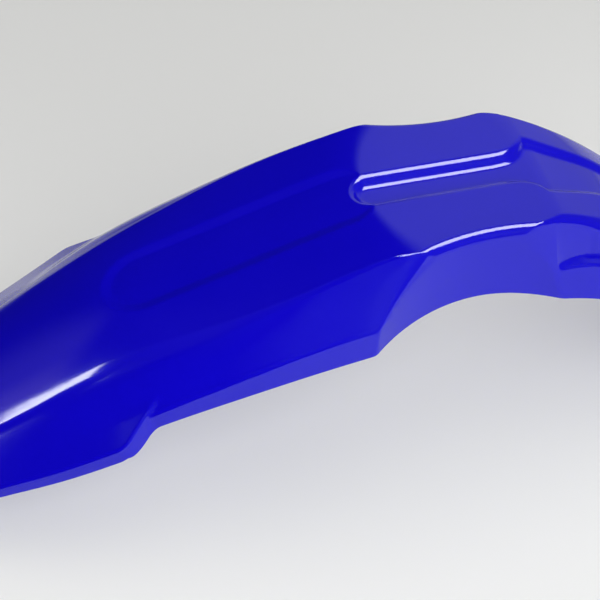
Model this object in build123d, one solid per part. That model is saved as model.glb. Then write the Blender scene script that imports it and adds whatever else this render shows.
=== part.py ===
from build123d import *
from math import atan2, cos, degrees, radians, sin, tan
import os

os.makedirs("parts", exist_ok=True)

# Front mudguard of an off-road motorcycle, one moulding of even wall.
# X runs from nose (-) to tail (+), Y across, Z up from the floor the part stands on.

# Driving sizes, in millimetres and degrees.
length = 674            # nose to tail
width = 204             # across the front flares
deck_h = 178            # floor to the flat mounting deck
wall = 2.6              # wall of the moulding
deck_front = 45         # X where the deck starts
deck_rear = 143         # X where the deck ends
flare_end = -146        # X of the widest point of the front flares
flare_run = 24          # length of the slanting step behind the flares
flare_step = 11         # how far the outline steps in there
step_lean = 15          # lean of the face of that step
flare_share = 0.68      # how far down the flank the flares start, at their step
flare_rise = 45         # length over which that start climbs to the ridge
skirt_lean = 0.17       # outward run of the skirt for each millimetre of its height
fork_x = 102            # X of the axis of the hollow that clears a fork leg
fork_r = 136            # radius of that hollow at the deck
fork_draft = 2          # lean of the hollow's wall
deck_waist = 62         # half the width of the deck between the hollows
deck_round = 3.5        # rounding between the deck and the hollows
scoop_front = -140      # X of the round front end of the scoop in the blade
scoop_rear = 42         # X of its rear end
scoop_half = 27         # half its width
scoop_depth = 3.6
pocket_front = 33       # X of the round front end of the pocket between the pads
pocket_half = 13.5      # half its width
pocket_depth = 6.5
valley_width = 50       # width of the valley in the tail, where it starts
valley_depth = 5
valley_ramp = 12        # length over which the valley reaches its depth
valley_taper = 0.5      # share of its width that the valley loses towards the tail's end
flank_swell = 0.8       # how far the flanks bulge
shelf = 12              # width of the ledge along the tail's sides
shelf_lead = 12         # how far ahead of the deck's end the ledge starts to open
shelf_run = 80          # length over which it opens
groove_draft = 40       # lean of the walls of scoop, pocket and valley
nose_bow = 30           # how far the middle of the nose stands ahead of its shoulders
tail_lean = 25          # lean of the tail's end
overrun = 14            # how far the filled forms run past the ends before they are trimmed
spare = 30              # how far a cutting form stands clear of what it cuts
bays = 24               # bays between the sections the body is drawn through
flare_bays = 6          # the same for the front flares

half = width / 2
nose = -length / 2
tail = length / 2


def on_blade(share):
    """X at a share of the way from the deck forward to the nose."""
    return deck_front + share * (nose - deck_front)


def on_tail(share):
    """X at a share of the way from the deck back to the tail's end."""
    return deck_rear + share * (tail - deck_rear)


def on_flare(share):
    """X at a share of the way from the nose back to the widest point of the flares."""
    return nose + share * (flare_end - nose)


def spline(*points):
    """Function of x: the natural cubic curve through a few (x, value) points."""
    xs = [p[0] for p in points]
    vs = [p[1] for p in points]
    n = len(xs)
    h = [xs[i + 1] - xs[i] for i in range(n - 1)]
    bend = [0.0] * n
    held = [0.0] * n
    upper = [0.0] * n
    for i in range(1, n - 1):
        turn = (vs[i + 1] - vs[i]) / h[i] - (vs[i] - vs[i - 1]) / h[i - 1]
        pivot = 2 * (h[i - 1] + h[i]) - h[i - 1] * upper[i - 1]
        held[i] = (6 * turn - h[i - 1] * held[i - 1]) / pivot
        upper[i] = h[i] / pivot
    for i in range(n - 2, 0, -1):
        bend[i] = held[i] - upper[i] * bend[i + 1]

    def value(x):
        i = 0
        while i < n - 2 and x > xs[i + 1]:
            i += 1
        a = (xs[i + 1] - x) / h[i]
        b = (x - xs[i]) / h[i]
        cubic = (a**3 - a) * bend[i] + (b**3 - b) * bend[i + 1]
        return a * vs[i] + b * vs[i + 1] + cubic * h[i] ** 2 / 6

    return value


# Lines that run from nose to tail: half widths are shares of the part's, heights are shares of the deck's.
deck_mid = (deck_front + deck_rear) / 2
ridge_half = spline((nose, 0.3 * half), (on_blade(0.64), 0.525 * half), (on_blade(0.463), 0.575 * half),
                    (on_blade(0.188), 0.667 * half), (deck_front, 0.66 * half), (deck_mid, 0.69 * half),
                    (deck_rear, 0.565 * half), (on_tail(0.19), 0.52 * half), (tail, 0.4 * half))
ridge_z = spline((nose, 0.09 * deck_h), (on_blade(0.64), 0.488 * deck_h), (on_blade(0.463), 0.687 * deck_h),
                 (on_blade(0.34), 0.782 * deck_h), (on_blade(0.188), 0.892 * deck_h),
                 (deck_front, 0.999 * deck_h), (deck_mid, 1.018 * deck_h), (deck_rear, 0.999 * deck_h),
                 (on_tail(0.19), 0.888 * deck_h), (tail, 0.19 * deck_h))
edge_half = spline((nose, 0.36 * half), (on_blade(0.673), 0.73 * half), (on_blade(0.44), 0.892 * half),
                   (on_blade(0.306), 0.931 * half), (on_blade(0.139), 0.956 * half),
                   (on_blade(0.039), 0.95 * half), (deck_mid, 0.82 * half), (deck_rear, 0.702 * half),
                   (on_tail(0.19), 0.698 * half), (tail, 0.6 * half))
edge_z = spline((nose, -0.05 * deck_h), (on_blade(0.673), 0.3 * deck_h), (on_blade(0.55), 0.42 * deck_h),
                (on_blade(0.44), 0.517 * deck_h), (on_blade(0.306), 0.601 * deck_h),
                (on_blade(0.139), 0.683 * deck_h), (on_blade(0.013), 0.722 * deck_h),
                (fork_x, 0.722 * deck_h), (on_tail(0.036), 0.674 * deck_h), (on_tail(0.15), 0.644 * deck_h),
                (on_tail(0.371), 0.53 * deck_h), (on_tail(0.905), 0.0075 * deck_h))
flare_half = spline((nose, 0.45 * half), (on_flare(0.581), 0.814 * half), (on_flare(0.78), 0.912 * half),
                    (flare_end, half))
flare_z = spline((nose, -0.0741 * deck_h), (on_flare(0.581), 0.27 * deck_h), (on_flare(0.78), 0.348 * deck_h),
                 (flare_end, 0.447 * deck_h))

# Height of the crown over the ridges, rounding of the ridges and height of the skirts, in millimetres.
crown = spline((nose, 5), (on_blade(0.484), 9), (on_blade(0.223), 5),
               (deck_front, 0.5), (deck_rear, 0.5), (tail, 3))
ridge_r = spline((nose, 10), (on_blade(0.484), 9), (on_blade(0.175), 6),
                 (deck_front, 4), (deck_rear, 4), (tail, 7))
skirt = spline((nose, 5), (on_blade(0.44), 10), (on_blade(0.306), 13.3), (on_blade(0.139), 17),
               (deck_rear, 21.5), (on_tail(0.13), 25), (on_tail(0.371), 21), (tail, 15))
flare_skirt = spline((nose, 4), (on_flare(0.581), 7), (flare_end, 9))


def inset(points, t):
    """The same open chain of (y, z) points moved inwards by t, corners kept sharp."""
    if t == 0:
        return points
    moved = []
    for a, b in zip(points, points[1:]):
        run = ((b[0] - a[0]) ** 2 + (b[1] - a[1]) ** 2) ** 0.5
        push = ((b[1] - a[1]) / run * t, (a[0] - b[0]) / run * t)
        moved.append(((a[0] + push[0], a[1] + push[1]), (b[0] + push[0], b[1] + push[1])))
    chain = [moved[0][0]]
    for (a, b), (c, d) in zip(moved, moved[1:]):
        ab = (b[0] - a[0], b[1] - a[1])
        cd = (d[0] - c[0], d[1] - c[1])
        cross = ab[0] * cd[1] - ab[1] * cd[0]
        if abs(cross) < 0.5:
            chain.append(b)
            continue
        s = ((c[0] - a[0]) * cd[1] - (c[1] - a[1]) * cd[0]) / cross
        chain.append((a[0] + s * ab[0], a[1] + s * ab[1]))
    chain.append(moved[-1][1])
    return chain


def ease(s):
    """0 up to s = 0, 1 from s = 1, with an easy run between."""
    s = min(max(s, 0), 1)
    return s * s * (3 - 2 * s)


def half_section(x):
    """Centre, ridge, foot of the flank, fold and lower edge of one half, as (y, z)."""
    ridge = (ridge_half(x), ridge_z(x))
    edge = (edge_half(x), edge_z(x))
    fold = (edge[0] - skirt_lean * skirt(x), edge[1] + skirt(x))
    on_flank = (ridge[0] + 0.9 * (fold[0] - ridge[0]), ridge[1] + 0.9 * (fold[1] - ridge[1]) + flank_swell)
    on_shelf = (fold[0] - shelf, fold[1] + 2)
    w = ease((x - deck_rear + shelf_lead) / shelf_run)
    foot = (on_flank[0] + w * (on_shelf[0] - on_flank[0]), on_flank[1] + w * (on_shelf[1] - on_flank[1]))
    return [(0, ridge[1] + crown(x)), ridge, foot, fold, edge]


def section(x, t):
    """Closed section across the part at x, moved inwards by t and then left open below."""
    centre, ridge, foot, fold, edge = inset(half_section(x), t)
    if t > 0:
        edge = (edge[0] + spare * skirt_lean, edge[1] - spare)
    right = [ridge, foot, fold, edge]
    left = [(-y, z) for y, z in reversed(right)]
    lines = ThreePointArc(left[-1], centre, right[0]) + Polyline(*right, *left)
    face = make_face(lines)
    tops = face.vertices().sort_by(Axis.Y)[-2:]
    face = fillet(tops, max(ridge_r(x) - t, 1))
    return Plane(origin=(x, 0, 0), x_dir=(0, 1, 0), z_dir=(1, 0, 0)) * face


def flare(x, t):
    """Section of the right front flare at x: a flatter flank that reaches past the body's."""
    _, ridge, _, flank_end, _ = half_section(x)
    share = flare_share * ease((x - flare_end) / flare_rise + 1)
    root = (ridge[0] + share * (flank_end[0] - ridge[0]) - wall,
            ridge[1] + share * (flank_end[1] - ridge[1]) - wall)
    edge = (flare_half(x), flare_z(x))
    fold = (edge[0] - skirt_lean * flare_skirt(x), edge[1] + flare_skirt(x))
    chain = inset([root, fold, edge], t)
    if t > 0:
        root = chain[0]
        low = (chain[2][0] + spare * skirt_lean, chain[2][1] - spare)
        chain = [(root[0] - 7 * t, root[1] - 4 * t), root, chain[1], low]
    outline = Polyline(*chain, (chain[0][0], chain[-1][1]), close=True)
    return Plane(origin=(x, 0, 0), x_dir=(0, 1, 0), z_dir=(1, 0, 0)) * make_face(outline)


def flares(t):
    """Both front flares, cut off behind by a slanting, leaning face."""
    first = nose - overrun
    last = flare_end + 1.5 * flare_run
    run = last - first
    solid = loft([flare(first + run * i / flare_bays, t) for i in range(flare_bays + 1)])
    out = Vector(flare_step, flare_run, 0).normalized() * cos(radians(step_lean))
    out = out + Vector(0, 0, sin(radians(step_lean)))
    corner = Vector(flare_end, half, flare_z(flare_end)) - out * t
    solid = split(solid, Plane(origin=corner, x_dir=(flare_run, -flare_step, 0), z_dir=out), Keep.BOTTOM)
    return solid + mirror(solid, Plane.XZ)


def fork_hollows(t):
    """Leaning round hollows in both sides of the deck, one for each fork leg."""
    lean = tan(radians(fork_draft))
    deck_r = fork_r + t / cos(radians(fork_draft))
    high = deck_h + spare
    cone = Cone(deck_r - deck_h * lean, deck_r + spare * lean, high)
    y = deck_waist + fork_r
    return Pos(fork_x, y, high / 2) * cone + Pos(fork_x, -y, high / 2) * cone


def top_line(x):
    return ridge_z(x) + crown(x)


def valley_half(x):
    return valley_width / 2 * (1.1 - valley_taper * (x - deck_rear) / (tail - deck_rear))


def valley_floor(x):
    ramp = min((x - deck_rear) / valley_ramp, 1)
    return top_line(x) - valley_depth * ramp


def scoop(t):
    """Tool for the long scoop in the blade, laid along the slope, its walls leaning outwards."""
    grow = t / cos(radians(groove_draft))
    rise = top_line(scoop_rear) - top_line(scoop_front)
    tilt = degrees(atan2(rise, scoop_rear - scoop_front))
    run = (scoop_rear - scoop_front) / cos(radians(tilt))
    sunk = 2.2 * scoop_depth
    back = sunk * tan(radians(groove_draft)) - grow
    outline = SlotOverall(run - 2 * back, 2 * (scoop_half - back))
    middle = (top_line(scoop_front) + top_line(scoop_rear)) / 2
    place = Pos((scoop_front + scoop_rear) / 2, 0, middle) * Rot(0, -tilt, 0)
    return place * Pos(0, 0, -sunk) * extrude(outline, spare, taper=-groove_draft)


def pocket(t):
    """Tool for the level pocket between the pads."""
    grow = t / cos(radians(groove_draft))
    floor_half = pocket_half - pocket_depth * tan(radians(groove_draft)) + grow
    run = deck_rear + 1.5 * pocket_half - pocket_front
    outline = SlotOverall(run + 2 * grow, 2 * floor_half)
    floor = Pos(pocket_front + run / 2, 0, deck_h - pocket_depth - t) * outline
    return extrude(floor, spare, taper=-groove_draft)


def valley(t):
    """Tool for the valley along the tail: it opens out of the pocket and runs off the end."""
    grow = t / cos(radians(groove_draft))
    lean = tan(radians(groove_draft))
    faces = []
    stations = [deck_rear - 0.7 * valley_ramp, deck_rear + valley_ramp]
    stations += [on_tail(0.31), on_tail(0.57), on_tail(0.82), tail + overrun]
    for x in stations:
        low = valley_floor(x) - t
        top = top_line(x) + spare
        a = valley_half(x) - lean * (top_line(x) - valley_floor(x)) + grow
        b = a + lean * (top - low)
        outline = Polyline((-b, top), (-a, low), (a, low), (b, top), close=True)
        faces.append(Plane(origin=(x, 0, 0), x_dir=(0, 1, 0), z_dir=(1, 0, 0)) * make_face(outline))
    return loft(faces)


def round_deck(form):
    """The form with the edges between its deck and the hollows rounded."""
    arcs = form.edges().filter_by(GeomType.CIRCLE)
    rims = [edge for edge in arcs if abs((edge @ 0.5).Z - deck_h) < 0.01]
    return fillet(rims, deck_round)


def body(t):
    """The filled form, its skin moved inwards by t. It overruns the nose and the tail."""
    first = nose - overrun
    run = length + 2 * overrun
    loaf = loft([section(first + run * i / bays, t) for i in range(bays + 1)])
    form = loaf + flares(t)
    form -= Pos(0, 0, deck_h - t + spare) * Box(2 * length, 2 * width, 2 * spare)
    form -= fork_hollows(t)
    if t == 0:
        form = round_deck(form)
    form -= scoop(t) - Pos(0, 0, -scoop_depth) * loaf
    form -= pocket(t)
    form -= valley(t)
    return form


# Round the nose in plan and cut the tail off at a lean.
shoulder = flare_half(nose + nose_bow) + 2
nose_line = ThreePointArc((nose + nose_bow, shoulder), (nose, 0), (nose + nose_bow, -shoulder))
sides = Polyline((nose + nose_bow, -shoulder), (flare_end, -width), (tail, -width),
                 (tail, width), (flare_end, width), (nose + nose_bow, shoulder))
plan = make_face(nose_line + sides)
trim = Pos(0, 0, -deck_h) * extrude(plan, 3 * deck_h)
tail_dir = (cos(radians(tail_lean)), 0, -sin(radians(tail_lean)))
tail_face = Plane(origin=(tail, 0, top_line(tail)), z_dir=tail_dir)
outer = split(body(0) & trim, tail_face, Keep.BOTTOM)
guard = outer - body(wall)

# Stand it on the floor, with the middle of its length over the origin.
box = guard.bounding_box()
guard = Pos(-box.center().X, 0, -box.min.Z) * guard
export_step(guard, "parts/front_mudguard.step")
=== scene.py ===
from math import cos, pi, radians, sin, tan

import bpy
import numpy as np
from mathutils import Matrix, Vector


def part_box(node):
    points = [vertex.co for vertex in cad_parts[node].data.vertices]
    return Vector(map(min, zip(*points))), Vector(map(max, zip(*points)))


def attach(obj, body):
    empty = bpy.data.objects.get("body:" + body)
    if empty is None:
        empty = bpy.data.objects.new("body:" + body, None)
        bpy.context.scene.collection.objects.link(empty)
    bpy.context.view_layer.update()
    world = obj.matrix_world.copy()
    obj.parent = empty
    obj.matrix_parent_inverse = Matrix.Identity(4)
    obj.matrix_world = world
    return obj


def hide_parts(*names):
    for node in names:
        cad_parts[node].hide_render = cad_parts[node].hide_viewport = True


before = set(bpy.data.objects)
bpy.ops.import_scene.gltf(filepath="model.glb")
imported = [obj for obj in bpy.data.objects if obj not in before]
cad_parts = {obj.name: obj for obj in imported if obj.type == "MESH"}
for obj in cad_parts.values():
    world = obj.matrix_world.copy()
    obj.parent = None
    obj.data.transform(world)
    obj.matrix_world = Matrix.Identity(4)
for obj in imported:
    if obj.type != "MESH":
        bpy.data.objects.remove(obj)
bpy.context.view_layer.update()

# A glossy moulded mudguard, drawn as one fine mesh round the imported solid.
# The moulding's sizes are in millimetres in the part's own frame, and its mesh is scaled to metres.
# Floor, lights and camera are in metres.

NODE = "front_mudguard"
MM = 0.001
low, high = (np.array(corner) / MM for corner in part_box(NODE))

# Sizes of the moulding
nose, tail = low[0], high[0]
half = high[1]
deck_h = high[2]
wall = 2.6              # wall of the moulding
deck_front = 45         # X where the flat deck starts
deck_rear = 143         # X where it ends
flare_end = -146        # X of the widest point of the front flares
flare_run = 24          # length of the slanting step behind them
flare_step = 11         # how far the outline steps in there
step_lean = 15          # lean of the face of that step, in degrees
flare_share = 0.68      # how far down the flank the flares start, at their step
flare_rise = 45         # length over which that start climbs to the ridge
skirt_lean = 0.17       # outward run of the skirt for each millimetre of its height
fork_x = 104            # X of the axis of the hollows that clear the fork legs
fork_r = 136            # their radius at the deck
fork_draft = 2          # lean of their wall, in degrees
deck_waist = 62         # half the width of the deck between them
scoop_front = -140      # X of the round ends of the scoop in the blade
scoop_rear = 49
scoop_half = 28
scoop_depth = 2.2
scoop_lean = 17         # slope of its soft sides, in degrees
pocket_front = 30       # X of the round front end of the pocket between the pads
pocket_half = 14.5
pocket_depth = 6.5
opening_lead = 33       # how far ahead of the deck's end the pocket starts to open
opening_run = 39        # length over which it opens into the valley
valley_half = 29        # half width of the valley where it starts
valley_end = 12         # half width it falls to
valley_fade = 58        # length over which most of that fall happens
valley_depth = 5
shelf = 8.5             # width of the ledge along the tail's sides
shelf_run = 26          # length over which it opens
shelf_fall = 2          # how far it slopes down outwards
foot_share = 0.9        # how far down the flank its foot is ahead of the ledge
groove_draft = 40       # lean of the walls of pocket and valley, in degrees
nose_bow = 30           # how far the middle of the nose stands ahead of its shoulders
tail_lean = 25          # lean of the tail's end, in degrees

# Roundings
fold_round = 1.6        # fold of the skirt
step_round = 3.5        # corners of the step
deck_round = 2.2        # ends of the deck
hollow_round = 7        # deck to hollow
crease_round = 1.2      # flank to hollow
step_foot = 2.2         # foot of the flares on the flank
groove_round = 2.4      # edges of pocket and valley
groove_foot = 2.2       # their feet
scoop_round = 0.4
shelf_foot = 0.8        # foot of the ledge
channel_turn = 3        # turn of the channel's plan at its widest
least_round = 0.4       # smallest rounding on the inner skin
foot_fade = 25          # distance below the ridge over which the flares' foot grows
roll_start, roll_full = 30, 6  # depth below the deck where its wide rounding starts and is full

# Mesh density: rows along X, each (from, to, spacing), and columns over half the width
row_bands = [(nose, -156, 2.2), (-156, -104, 1.0), (-104, 18, 2.0), (18, 60, 0.9),
             (60, 132, 1.8), (132, 168, 0.9), (168, tail, 2.1)]
column_counts = (4, 24, 11, 16, 14, 18)
nose_reach = 130        # how far the bow of the nose bends the rows
tail_reach = 110        # how far the lean of the tail does
ridge_band = 7          # width of the close columns at the ridge


def on_blade(share):
    return deck_front + share * (nose - deck_front)


def on_tail(share):
    return deck_rear + share * (tail - deck_rear)


def on_flare(share):
    return nose + share * (flare_end - nose)


def spline(*points):
    """Function of x: the natural cubic curve through a few (x, value) points."""
    xs, vs = (np.array(column, float) for column in zip(*points))
    n = len(xs)
    h = np.diff(xs)
    system = np.eye(n)
    right = np.zeros(n)
    for i in range(1, n - 1):
        system[i, i - 1:i + 2] = h[i - 1], 2 * (h[i - 1] + h[i]), h[i]
        right[i] = 6 * ((vs[i + 1] - vs[i]) / h[i] - (vs[i] - vs[i - 1]) / h[i - 1])
    bend = np.linalg.solve(system, right)

    def value(x):
        i = np.clip(np.searchsorted(xs, x) - 1, 0, n - 2)
        a = (xs[i + 1] - x) / h[i]
        b = (x - xs[i]) / h[i]
        cubic = (a**3 - a) * bend[i] + (b**3 - b) * bend[i + 1]
        return a * vs[i] + b * vs[i + 1] + cubic * h[i] ** 2 / 6

    return value


# Lines that run from nose to tail
deck_mid = (deck_front + deck_rear) / 2
ridge_half = spline((nose, 0.3 * half), (on_blade(0.64), 0.525 * half), (on_blade(0.463), 0.575 * half),
                    (on_blade(0.188), 0.667 * half), (deck_front, 0.66 * half), (deck_mid, 0.69 * half),
                    (deck_rear, 0.565 * half), (on_tail(0.19), 0.52 * half), (tail, 0.4 * half))
ridge_z = spline((nose, 0.09 * deck_h), (on_blade(0.64), 0.488 * deck_h), (on_blade(0.463), 0.687 * deck_h),
                 (on_blade(0.34), 0.782 * deck_h), (on_blade(0.188), 0.892 * deck_h),
                 (deck_front, 0.999 * deck_h), (deck_mid, 1.018 * deck_h), (deck_rear, 0.999 * deck_h),
                 (on_tail(0.19), 0.904 * deck_h), (on_tail(0.31), 0.814 * deck_h),
                 (on_tail(0.48), 0.663 * deck_h), (on_tail(0.7), 0.466 * deck_h), (tail, 0.19 * deck_h))
edge_half = spline((nose, 0.36 * half), (on_blade(0.673), 0.73 * half), (on_blade(0.44), 0.892 * half),
                   (on_blade(0.306), 0.931 * half), (on_blade(0.139), 0.956 * half),
                   (on_blade(0.039), 0.95 * half), (deck_mid, 0.82 * half), (deck_rear, 0.702 * half),
                   (on_tail(0.19), 0.698 * half), (tail, 0.6 * half))
edge_z = spline((nose, -0.05 * deck_h), (on_blade(0.673), 0.3 * deck_h), (on_blade(0.55), 0.42 * deck_h),
                (on_blade(0.44), 0.517 * deck_h), (on_blade(0.306), 0.601 * deck_h),
                (on_blade(0.139), 0.683 * deck_h), (on_blade(0.013), 0.722 * deck_h),
                (fork_x, 0.722 * deck_h), (on_tail(0.036), 0.674 * deck_h), (on_tail(0.15), 0.644 * deck_h),
                (on_tail(0.371), 0.53 * deck_h), (on_tail(0.905), 0.0075 * deck_h))
flare_half = spline((nose, 0.45 * half), (on_flare(0.581), 0.814 * half), (on_flare(0.78), 0.912 * half),
                    (flare_end, half))
flare_z = spline((nose, -0.0741 * deck_h), (on_flare(0.581), 0.27 * deck_h), (on_flare(0.78), 0.348 * deck_h),
                 (flare_end, 0.447 * deck_h))
crown = spline((nose, 5), (on_blade(0.484), 9), (on_blade(0.223), 5),
               (deck_front, 4), (deck_rear, 1.8), (on_tail(0.1), 1), (on_tail(0.25), 5),
               (on_tail(0.5), 3), (tail, 3.6))
ridge_round = spline((nose, 3.0), (on_blade(0.484), 2.4), (on_blade(0.175), 1.6),
                     (deck_front, 1.2), (deck_mid, 1.2), (deck_rear, 4), (on_tail(0.12), 5.5), (tail, 5))
skirt = spline((nose, 5), (on_blade(0.44), 10), (on_blade(0.306), 13.3), (on_blade(0.139), 17),
               (deck_rear, 21.5), (on_tail(0.13), 25), (on_tail(0.371), 21), (tail, 15))
flank_swell = spline((nose, 0), (on_blade(0.64), 0), (on_blade(0.46), 2.6), (on_blade(0.2), 0.8),
                     (deck_rear, 0.8), (tail, 0.8))
flare_skirt = spline((nose, 4), (on_flare(0.581), 7), (flare_end, 9))


def smooth(x, start, end):
    """0 before start, 1 after end, with an easy run between."""
    s = np.clip((x - start) / (end - start), 0, 1)
    return s * s * (3 - 2 * s)


def top_line(x):
    return ridge_z(x) + crown(x)


# Heights of the faces that bound the moulding, each a function of x and the distance y from the middle
def top_face(x, y):
    return ridge_z(x) + crown(x) * (1 - (y / ridge_half(x)) ** 2)


def fold_of(x):
    return edge_half(x) - skirt_lean * skirt(x), edge_z(x) + skirt(x)


def shelf_share(x):
    return np.clip((x - deck_rear) / shelf_run, 0, 1) ** 0.7


def foot_of(x):
    """Foot of the flank: on the straight flank ahead, at the inner side of the ledge in the tail."""
    ry, rz = ridge_half(x), ridge_z(x)
    fy, fz = fold_of(x)
    w = shelf_share(x)
    y = ry + foot_share * (fy - ry)
    z = rz + foot_share * (fz - rz)
    return y + w * (fy - shelf - y), z + w * (fz + shelf_fall - z)


def flank_face(x, y):
    ry, rz = ridge_half(x), ridge_z(x)
    fy, fz = foot_of(x)
    s = (y - ry) / (fy - ry)
    inner = np.clip(s, 0, 1)
    bulge = inner * (1 - inner) - np.abs(s - inner)
    return rz + (fz - rz) * s + 4 * flank_swell(x) * bulge


def ledge_face(x, y):
    ay, az = foot_of(x)
    by, bz = fold_of(x)
    return az + (bz - az) * (y - ay) / (by - ay)


def skirt_face(x, y):
    fy, fz = fold_of(x)
    return fz - (y - fy) / skirt_lean


def flare_fold(x):
    return flare_half(x) - skirt_lean * flare_skirt(x), flare_z(x) + flare_skirt(x)


def flare_root(x):
    """Where the flare leaves the flank: at the ridge in the nose, low on the flank at the step."""
    ry, rz = ridge_half(x), ridge_z(x)
    fy, fz = fold_of(x)
    share = flare_share * smooth(x, flare_end - flare_rise, flare_end)
    return ry + share * (fy - ry), rz + share * (fz - rz)


def flare_face(x, y):
    x = np.minimum(x, flare_end + 2 * flare_run)
    ry, rz = flare_root(x)
    fy, fz = flare_fold(x)
    return rz + (fz - rz) * (y - ry) / (fy - ry)


def flare_skirt_face(x, y):
    x = np.minimum(x, flare_end + 2 * flare_run)
    fy, fz = flare_fold(x)
    return fz - (y - fy) / skirt_lean


def step_face(x, y):
    out = np.array([flare_step, flare_run]) / np.hypot(flare_step, flare_run)
    reach = (x - flare_end) * out[0] + (y - half) * out[1]
    return flare_z(flare_end) - reach / tan(radians(step_lean))


def deck_face(x, y):
    return deck_h + 0 * x


def hollow_face(x, y):
    r = np.hypot(x - fork_x, y - deck_waist - fork_r)
    return deck_h - (fork_r - r) / tan(radians(fork_draft))


def slot_distance(x, y, front, rear, width):
    """Distance outside a round-ended slot of that half width, negative inside."""
    past = np.maximum(np.maximum(front + width - x, x - rear + width), 0)
    return np.hypot(past, y) - width


groove_slope = 1 / tan(radians(groove_draft))


def pocket_floor(x, y):
    return deck_h - pocket_depth + 0 * x


def valley_floor(x, y):
    return np.where(x > deck_mid, top_line(x) - valley_depth, deck_h)


def groove_half(x):
    """Half width of the channel: even between the pads, wide behind them, narrow at the tail's end."""
    opening = np.maximum((x - deck_rear + opening_lead) / opening_run, 0)
    pads = pocket_half + (valley_half - pocket_half) * opening**5
    widest = deck_rear + opening_run - opening_lead
    along = valley_end + (valley_half - valley_end) * np.exp((widest - x) / valley_fade)
    return (pads + along - np.hypot(pads - along, channel_turn)) / 2


def groove_wall(x, y):
    floor = np.minimum(pocket_floor(x, y), valley_floor(x, y))
    depth = np.where(x > deck_mid, np.minimum(top_line(x), deck_h) - floor, pocket_depth)
    foot = groove_half(x) - depth / groove_slope
    end = pocket_front + pocket_half - pocket_depth / groove_slope
    return floor + groove_slope * (np.hypot(np.maximum(end - x, 0), y) - foot)


def scoop_floor(x, y):
    return top_face(x, y) - scoop_depth


def scoop_wall(x, y):
    slope = tan(radians(scoop_lean))
    back = scoop_depth / slope
    out = slot_distance(x, y, scoop_front + back, scoop_rear - back, scoop_half - back)
    return top_face(x, y) - scoop_depth + slope * out


FACES = [top_face, flank_face, ledge_face, skirt_face, flare_face, flare_skirt_face, step_face, deck_face,
         hollow_face, pocket_floor, valley_floor, groove_wall, scoop_floor, scoop_wall]


def common(a, b, r):
    """What lies in both fields, the corner between them rounded.

    Row 0 of a field is the distance from its face, and rows 1 to 3 are the gradient of that distance.
    """
    u = np.maximum(a[0] + r, 0)
    v = np.maximum(b[0] + r, 0)
    away = np.hypot(u, v)
    free = away < 1e-9
    wa = np.where(free, a[0] > b[0], u / np.where(free, 1, away))
    wb = np.where(free, a[0] <= b[0], v / np.where(free, 1, away))
    joined = wa * a + wb * b
    joined[0] = np.minimum(np.maximum(a[0], b[0]), -r) + away
    return joined


def union(a, b, r):
    """What lies in one field or the other, the corner between them filled round."""
    return -common(-a, -b, r)


class Skin:
    """The moulding's outer skin over the plan points x, y, or the skin that lies t inside it."""

    def __init__(self, x, y, t):
        self.x, self.t = x, t
        self.side = np.where(y < 0, -1.0, 1.0)
        y = np.abs(y)
        self.y = y
        h = 0.02
        self.faces = {}
        for face in FACES:
            gx = (face(x + h, y) - face(x - h, y)) / (2 * h)
            gy = (face(x, y + h) - face(x, y - h)) / (2 * h)
            self.faces[face] = face(x, y), gx, gy, 1 / np.sqrt(1 + gx**2 + gy**2)

    def part(self, face, z):
        height, gx, gy, c = self.faces[face]
        return np.stack([(z - height) * c + self.t, -gx * c, -gy * c, c])

    def field(self, z):
        """Distance from the skin, positive outside, with its gradient."""
        convex = lambda r: np.maximum(r - self.t, least_round)
        hollow = lambda r: r + self.t
        p = lambda face: self.part(face, z)
        x = self.x
        side = union(p(flank_face), p(ledge_face), shelf_foot * shelf_share(x))
        side = common(side, p(skirt_face), convex(fold_round))
        flare = common(p(flare_skirt_face), p(step_face), convex(step_round))
        flare = common(p(flare_face), flare, convex(fold_round))
        below_ridge = np.clip((self.y - ridge_half(x)) / foot_fade, 0, 1)
        side = union(side, flare, step_foot * below_ridge)
        skin = common(p(top_face), side, convex(ridge_round(x)))
        skin = common(skin, p(deck_face), convex(deck_round))
        near_deck = smooth(z, deck_h - roll_start, deck_h - roll_full)
        skin = common(skin, p(hollow_face), convex(crease_round + (hollow_round - crease_round) * near_deck))
        scoop = union(p(scoop_floor), p(scoop_wall), scoop_round)
        skin = common(skin, scoop, scoop_round)
        groove = common(p(pocket_floor), p(valley_floor), convex(deck_round))
        groove = union(groove, p(groove_wall), hollow(groove_foot))
        return common(skin, groove, convex(groove_round))

    def height(self):
        """Height of the skin at each point."""
        lowest = np.full(self.x.shape, -2.0 * deck_h)
        highest = np.full(self.x.shape, 1.5 * deck_h)
        for _ in range(36):
            z = (lowest + highest) / 2
            outside = self.field(z)[0] > 0
            highest = np.where(outside, z, highest)
            lowest = np.where(outside, lowest, z)
        return (lowest + highest) / 2

    def normal(self, z):
        g = self.field(z)[1:]
        g[1] *= self.side
        return (g / np.linalg.norm(g, axis=0)).reshape(3, -1).T


def rim_z(x):
    """Height of the lower edge."""
    w = smooth(x, flare_end, flare_end + flare_run)
    ahead = flare_z(np.minimum(x, flare_end))
    return ahead + w * (edge_z(x) - ahead)


def rim_half(x, t):
    """Half width of the skin where it meets the lower edge."""
    z = rim_z(x)
    inside = np.full(x.shape, 0.2 * half)
    outside = np.full(x.shape, 1.2 * half)
    for _ in range(30):
        y = (inside + outside) / 2
        out = Skin(x, y, t).field(z)[0] > 0
        outside = np.where(out, y, outside)
        inside = np.where(out, inside, y)
    return (inside + outside) / 2


def nose_x(y):
    """Plan of the nose, an arc."""
    shoulder = flare_half(nose + nose_bow) + 2
    r = (shoulder**2 + nose_bow**2) / (2 * nose_bow)
    return nose + r - np.sqrt(np.maximum(r * r - y * y, 0))


def stations():
    rows = [nose]
    for start, end, gap in row_bands:
        n = max(2, round((end - start) / gap / 2) * 2)
        rows.extend(start + (end - start) * (i + 1) / n for i in range(n))
    return np.array(rows)


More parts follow.
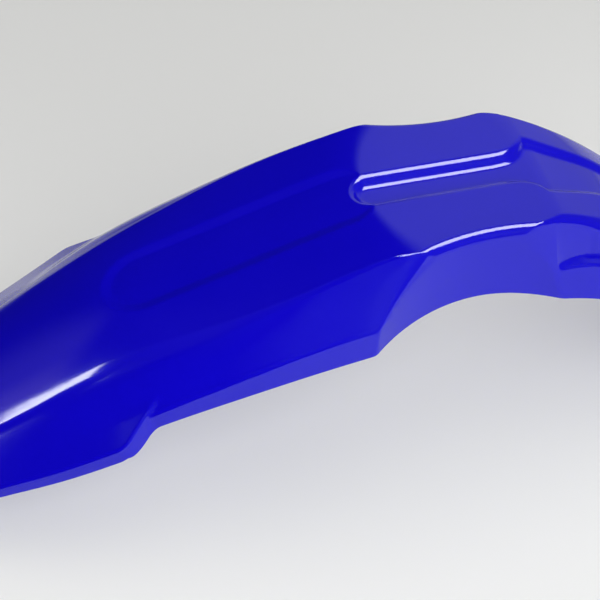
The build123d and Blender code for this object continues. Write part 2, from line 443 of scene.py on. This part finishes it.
def plan_columns(x, t):
    """Distance from the middle of each column, at every x, packed close where the form turns."""
    edge = rim_half(x, t)
    waist = deck_waist + fork_r - np.sqrt(np.maximum(fork_r**2 - (x - fork_x) ** 2, 0))
    ridge = np.minimum(ridge_half(x), waist) - t
    turn = np.minimum(ridge_band, 0.3 * (edge - ridge))
    keys = [0 * x, 0.09 * ridge, 0.52 * ridge, ridge - ridge_band, ridge + turn, edge - turn, edge]
    columns = [keys[0]]
    for a, b, n in zip(keys, keys[1:], column_counts):
        shares = np.arange(1, n + 1) / n
        if a is keys[3]:
            shares = 1 - (1 - shares) ** 1.6
        columns.extend(a + (b - a) * share for share in shares)
    return np.stack(columns, axis=-1)


def skin_grid(t, thin):
    """Grid of points on one skin, from edge to edge and nose to tail, with the skin's normals."""
    rows = stations()[::thin]
    count = sum(column_counts) + 1
    x = np.repeat(rows[:, None], count, axis=1)
    tail_top = top_line(tail)
    columns = plan_columns(rows, t)
    index = np.arange(count)
    for _ in range(6):
        y_nose = np.array([np.interp(x[0, j], rows, columns[:, j]) for j in index])
        y_tail = np.array([np.interp(x[-1, j], rows, columns[:, j]) for j in index])
        z_tail = Skin(x[-1], y_tail, t).height()
        ahead = nose_x(y_nose) - nose
        behind = (z_tail - tail_top) * tan(radians(tail_lean))
        x = rows[:, None] + ahead * (1 - smooth(rows, nose, nose + nose_reach))[:, None]
        x = x + behind * smooth(rows, tail - tail_reach, tail)[:, None]
    y = np.stack([np.interp(x[:, j], rows, columns[:, j]) for j in index], axis=1)
    pick = np.arange(0, count, thin)
    x, y = x[:, pick], y[:, pick]
    x = np.hstack([x[:, :0:-1], x])
    y = np.hstack([-y[:, :0:-1], y])
    skin = Skin(x, y, t)
    z = skin.height()
    return np.stack([x, y, z], axis=-1), skin.normal(z)


def rim_loop(shape, start):
    """Indices of a grid's border, once round."""
    n, m = shape
    grid = start + np.arange(n * m).reshape(n, m)
    return np.concatenate([grid[0, :-1], grid[:-1, -1], grid[-1, :0:-1], grid[:0:-1, 0]])


def grid_quads(shape, start):
    n, m = shape
    grid = start + np.arange(n * m).reshape(n, m)
    return np.stack([grid[:-1, :-1], grid[:-1, 1:], grid[1:, 1:], grid[1:, :-1]], axis=-1).reshape(-1, 4)


def shell_mesh(name):
    """Closed mesh of the moulding: a fine outer skin, a coarser inner one and the rim between them."""
    outer, outer_normals = skin_grid(0, 1)
    inner, inner_normals = skin_grid(wall, 2)
    points = np.vstack([outer.reshape(-1, 3), inner.reshape(-1, 3)]) * MM
    first_inner = outer.shape[0] * outer.shape[1]
    faces = grid_quads(outer.shape[:2], 0)[:, ::-1].tolist()
    outer_count = len(faces)
    faces += grid_quads(inner.shape[:2], first_inner).tolist()
    skin_count = len(faces)
    a = rim_loop(outer.shape[:2], 0)
    b = rim_loop(inner.shape[:2], first_inner)
    for k in range(len(b)):
        far = b[(k + 1) % len(b)]
        a0, a1, a2 = a[2 * k], a[2 * k + 1], a[(2 * k + 2) % len(a)]
        faces += [[a0, a1, b[k]], [a1, far, b[k]], [a1, a2, far]]
    mesh = bpy.data.meshes.new(name)
    mesh.from_pydata(points.tolist(), [], [[int(i) for i in f] for f in faces])
    mesh.update()
    return mesh, np.vstack([outer_normals, -inner_normals]), outer_count, skin_count


def shade(mesh, normals, outer_count, skin_count):
    """Gives the skins their own true normals and leaves the rim flat."""
    flags = np.zeros(len(mesh.polygons), bool)
    flags[:skin_count] = True
    mesh.polygons.foreach_set("use_smooth", flags)
    slots = np.ones(len(mesh.polygons), np.int32)
    slots[:outer_count] = 0
    mesh.polygons.foreach_set("material_index", slots)
    vertex = np.zeros(len(mesh.loops), np.int32)
    mesh.loops.foreach_get("vertex_index", vertex)
    loop_normals = normals[vertex]
    flat = np.zeros(len(mesh.polygons) * 3)
    mesh.polygons.foreach_get("normal", flat)
    flat = flat.reshape(-1, 3)
    for polygon in mesh.polygons[skin_count:]:
        loop_normals[polygon.loop_start:polygon.loop_start + polygon.loop_total] = flat[polygon.index]
    mesh.normals_split_custom_set(loop_normals.tolist())


def new_material(name):
    material = bpy.data.materials.new(name)
    material.use_nodes = True
    nodes = material.node_tree.nodes
    return material, nodes, material.node_tree.links, nodes["Principled BSDF"]


def plastic(name, deep, light, rough, grain, depth):
    """Moulded plastic: a faint drift of colour and gloss over the part and a fine grain in the surface."""
    material, nodes, links, shader = new_material(name)
    place = nodes.new("ShaderNodeTexCoord")

    def noise(scale, detail):
        node = nodes.new("ShaderNodeTexNoise")
        node.inputs["Scale"].default_value = scale
        node.inputs["Detail"].default_value = detail
        links.new(place.outputs["Object"], node.inputs["Vector"])
        return node.outputs["Fac"]

    drift = nodes.new("ShaderNodeValToRGB")
    drift.color_ramp.elements[0].position = 0.3
    drift.color_ramp.elements[0].color = (*deep, 1)
    drift.color_ramp.elements[1].position = 0.7
    drift.color_ramp.elements[1].color = (*light, 1)
    links.new(noise(14, 3), drift.inputs["Fac"])
    links.new(drift.outputs["Color"], shader.inputs["Base Color"])
    gloss = nodes.new("ShaderNodeMapRange")
    gloss.inputs["To Min"].default_value = 0.75 * rough
    gloss.inputs["To Max"].default_value = 1.35 * rough
    links.new(noise(60, 4), gloss.inputs["Value"])
    links.new(gloss.outputs["Result"], shader.inputs["Roughness"])
    bump = nodes.new("ShaderNodeBump")
    bump.inputs["Strength"].default_value = 1
    bump.inputs["Distance"].default_value = depth
    links.new(noise(grain, 2), bump.inputs["Height"])
    links.new(bump.outputs["Normal"], shader.inputs["Normal"])
    shader.inputs["IOR"].default_value = 1.5
    return material


outside = plastic("gloss_blue", (0.003, 0.0006, 0.485), (0.004, 0.001, 0.515), 0.08, 220, 0.000012)
inside = plastic("satin_blue", (0.003, 0.0006, 0.44), (0.004, 0.001, 0.5), 0.34, 900, 0.00006)

mesh, normals, outer_count, skin_count = shell_mesh("mudguard_shell")
mesh.materials.append(outside)
mesh.materials.append(inside)
shade(mesh, normals, outer_count, skin_count)
shell = bpy.data.objects.new("mudguard_shell", mesh)
bpy.context.scene.collection.objects.link(shell)
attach(shell, "root")
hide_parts(NODE)


def rays_share(nodes, links, share):
    """That share for rays from the camera, reflected and refracted ones, and none for the rest."""
    seen = nodes.new("ShaderNodeLightPath")
    total = None
    for ray in ("Is Camera Ray", "Is Glossy Ray", "Is Transmission Ray"):
        add = nodes.new("ShaderNodeMath")
        add.operation = "MULTIPLY_ADD"
        add.inputs[1].default_value = share
        add.inputs[2].default_value = 0
        links.new(seen.outputs[ray], add.inputs[0])
        if total:
            links.new(total, add.inputs[2])
        total = add.outputs["Value"]
    return total


def floor_with_painted_glow():
    """Pale matt floor, half of it seen as a painted glow: painted light, even but darker towards the back,
    that brightens the floor and softens its shadow.
    """
    material, nodes, links, matt = new_material("pale_floor")
    matt.inputs["Base Color"].default_value = (0.9, 0.905, 0.895, 1)
    matt.inputs["Roughness"].default_value = 0.9
    place = nodes.new("ShaderNodeTexCoord")
    parts = nodes.new("ShaderNodeSeparateXYZ")
    links.new(place.outputs["Object"], parts.inputs["Vector"])
    # Painted fall-off of the glow: brighter at the front, darker towards the back, in place of light falling
    # off
    glow_falloff = nodes.new("ShaderNodeMapRange")
    glow_falloff.interpolation_type = "SMOOTHSTEP"
    front, back = (-0.3, 0.84), (0.6, 0.5)
    glow_falloff.inputs["From Min"].default_value, glow_falloff.inputs["To Min"].default_value = front
    glow_falloff.inputs["From Max"].default_value, glow_falloff.inputs["To Max"].default_value = back
    links.new(parts.outputs["Y"], glow_falloff.inputs["Value"])
    # The emission is painted light, seen only from the camera and in reflections
    painted_glow = nodes.new("ShaderNodeEmission")
    painted_glow.inputs["Color"].default_value = (1, 1.01, 0.99, 1)
    links.new(glow_falloff.outputs["Result"], painted_glow.inputs["Strength"])
    blend = nodes.new("ShaderNodeMixShader")
    links.new(rays_share(nodes, links, 0.5), blend.inputs["Fac"])
    links.new(matt.outputs["BSDF"], blend.inputs[1])
    links.new(painted_glow.outputs["Emission"], blend.inputs[2])
    links.new(blend.outputs["Shader"], nodes["Material Output"].inputs["Surface"])
    return material


floor_reach = 20
corners = [(x * floor_reach, y * floor_reach, 0) for x, y in ((-1, -1), (1, -1), (1, 1), (-1, 1))]
floor_mesh = bpy.data.meshes.new("floor")
floor_mesh.from_pydata(corners, [], [(0, 1, 2, 3)])
floor_mesh.materials.append(floor_with_painted_glow())
floor = bpy.data.objects.new("floor", floor_mesh)
bpy.context.scene.collection.objects.link(floor)

# World: a dim studio with a pale wall on the right and a little warm glow on the left
world = bpy.data.worlds.new("studio")
world.use_nodes = True
nodes, links = world.node_tree.nodes, world.node_tree.links


def world_ramp(source, start, end, stops):
    """Colours along a value of the world, from start to end, each stop a (value, colour)."""
    place = nodes.new("ShaderNodeMapRange")
    place.inputs["From Min"].default_value = start
    place.inputs["From Max"].default_value = end
    links.new(source, place.inputs["Value"])
    ramp = nodes.new("ShaderNodeValToRGB")
    ramp.color_ramp.interpolation = "EASE"
    while len(ramp.color_ramp.elements) < len(stops):
        ramp.color_ramp.elements.new(0.5)
    for element, (value, colour) in zip(ramp.color_ramp.elements, stops):
        element.position = (value - start) / (end - start)
        element.color = (*colour, 1)
    links.new(place.outputs["Result"], ramp.inputs["Fac"])
    return ramp.outputs["Color"]


def mix(kind, a, b):
    node = nodes.new("ShaderNodeMix")
    node.data_type = "RGBA"
    node.blend_type = kind
    node.inputs["Factor"].default_value = 1
    links.new(a, node.inputs["A"])
    links.new(b, node.inputs["B"])
    return node.outputs["Result"]


def grey(value):
    return value, value, value


direction = nodes.new("ShaderNodeTexCoord")
parts = nodes.new("ShaderNodeSeparateXYZ")
links.new(direction.outputs["Generated"], parts.inputs["Vector"])
turn = nodes.new("ShaderNodeMath")
turn.operation = "ARCTAN2"
links.new(parts.outputs["X"], turn.inputs[0])
links.new(parts.outputs["Y"], turn.inputs[1])
round_about, upward = turn.outputs["Value"], parts.outputs["Z"]

warm = (0.9, 0.68, 0.56)
wall_round = world_ramp(round_about, 0, 3.2, [(radians(11), grey(0.02)), (radians(18), grey(0.62)),
                                              (radians(50), grey(0.5)), (radians(75), grey(0.15))])
wall_up = world_ramp(upward, -0.4, 1, [(0.0, grey(0.8)), (0.3, grey(1)),
                                       (0.75, grey(1)), (0.9, grey(0.1))])
glow_round = world_ramp(round_about, -1.75, 0, [(radians(-95), grey(0)), (radians(-82), warm),
                                                (radians(-64), warm), (radians(-50), (0.26, 0.2, 0.16)),
                                                (radians(-30), grey(0))])
glow_up = world_ramp(upward, -0.4, 1, [(0.0, grey(0.4)), (0.6, grey(1)), (0.69, grey(0.06))])
pale_wall = mix("MULTIPLY", wall_round, wall_up)
glow = mix("MULTIPLY", glow_round, glow_up)
links.new(mix("ADD", pale_wall, glow), nodes["Background"].inputs["Color"])
bpy.context.scene.world = world


def panel(name, place, aim, size, radiance, fill=False):
    """Flat soft light of that radiance, facing a point. A fill gives no glints, the others give only those."""
    lamp = bpy.data.lights.new(name, "AREA")
    lamp.shape = "RECTANGLE"
    lamp.size, lamp.size_y = size
    lamp.energy = radiance * pi * size[0] * size[1]
    light = bpy.data.objects.new(name, lamp)
    look = Vector(aim) - Vector(place)
    light.matrix_world = Matrix.Translation(place) @ look.to_track_quat("-Z", "Y").to_matrix().to_4x4()
    light.visible_camera = False
    light.visible_glossy = not fill
    light.visible_diffuse = fill
    bpy.context.scene.collection.objects.link(light)


panel("softbox_left", (-1.237, 0.247, 1.142), (-0.2, -0.05, 0.1), (0.39, 0.26), 17)
panel("strip_over", (0.43, -0.05, 1.48), (0.43, -0.05, 0), (0.9, 0.75), 14)
panel("fill_front", (0.75, -2.95, 2.4), (0, 0, 0.08), (3.9, 2.7), 4.5, fill=True)
panel("fill_over", (0.1, 0.1, 2.6), (0.1, 0.1, 0), (3, 3), 1.15, fill=True)

# Camera, at the photograph's angle
azimuth, pitch = radians(14.85), radians(41.34)
camera_place = (-0.313, -1.148, 1.139)
right = Vector((cos(azimuth), -sin(azimuth), 0))
forward = Vector((sin(azimuth) * cos(pitch), cos(azimuth) * cos(pitch), -sin(pitch)))
axes = Matrix((right, right.cross(forward), -forward)).transposed()
camera_data = bpy.data.cameras.new("camera")
camera_data.lens = 144
camera_data.sensor_width = 36
camera = bpy.data.objects.new("camera", camera_data)
camera.matrix_world = Matrix.Translation(camera_place) @ axes.to_4x4()
bpy.context.scene.collection.objects.link(camera)
bpy.context.scene.camera = camera

bpy.context.scene.view_settings.view_transform = "Standard"
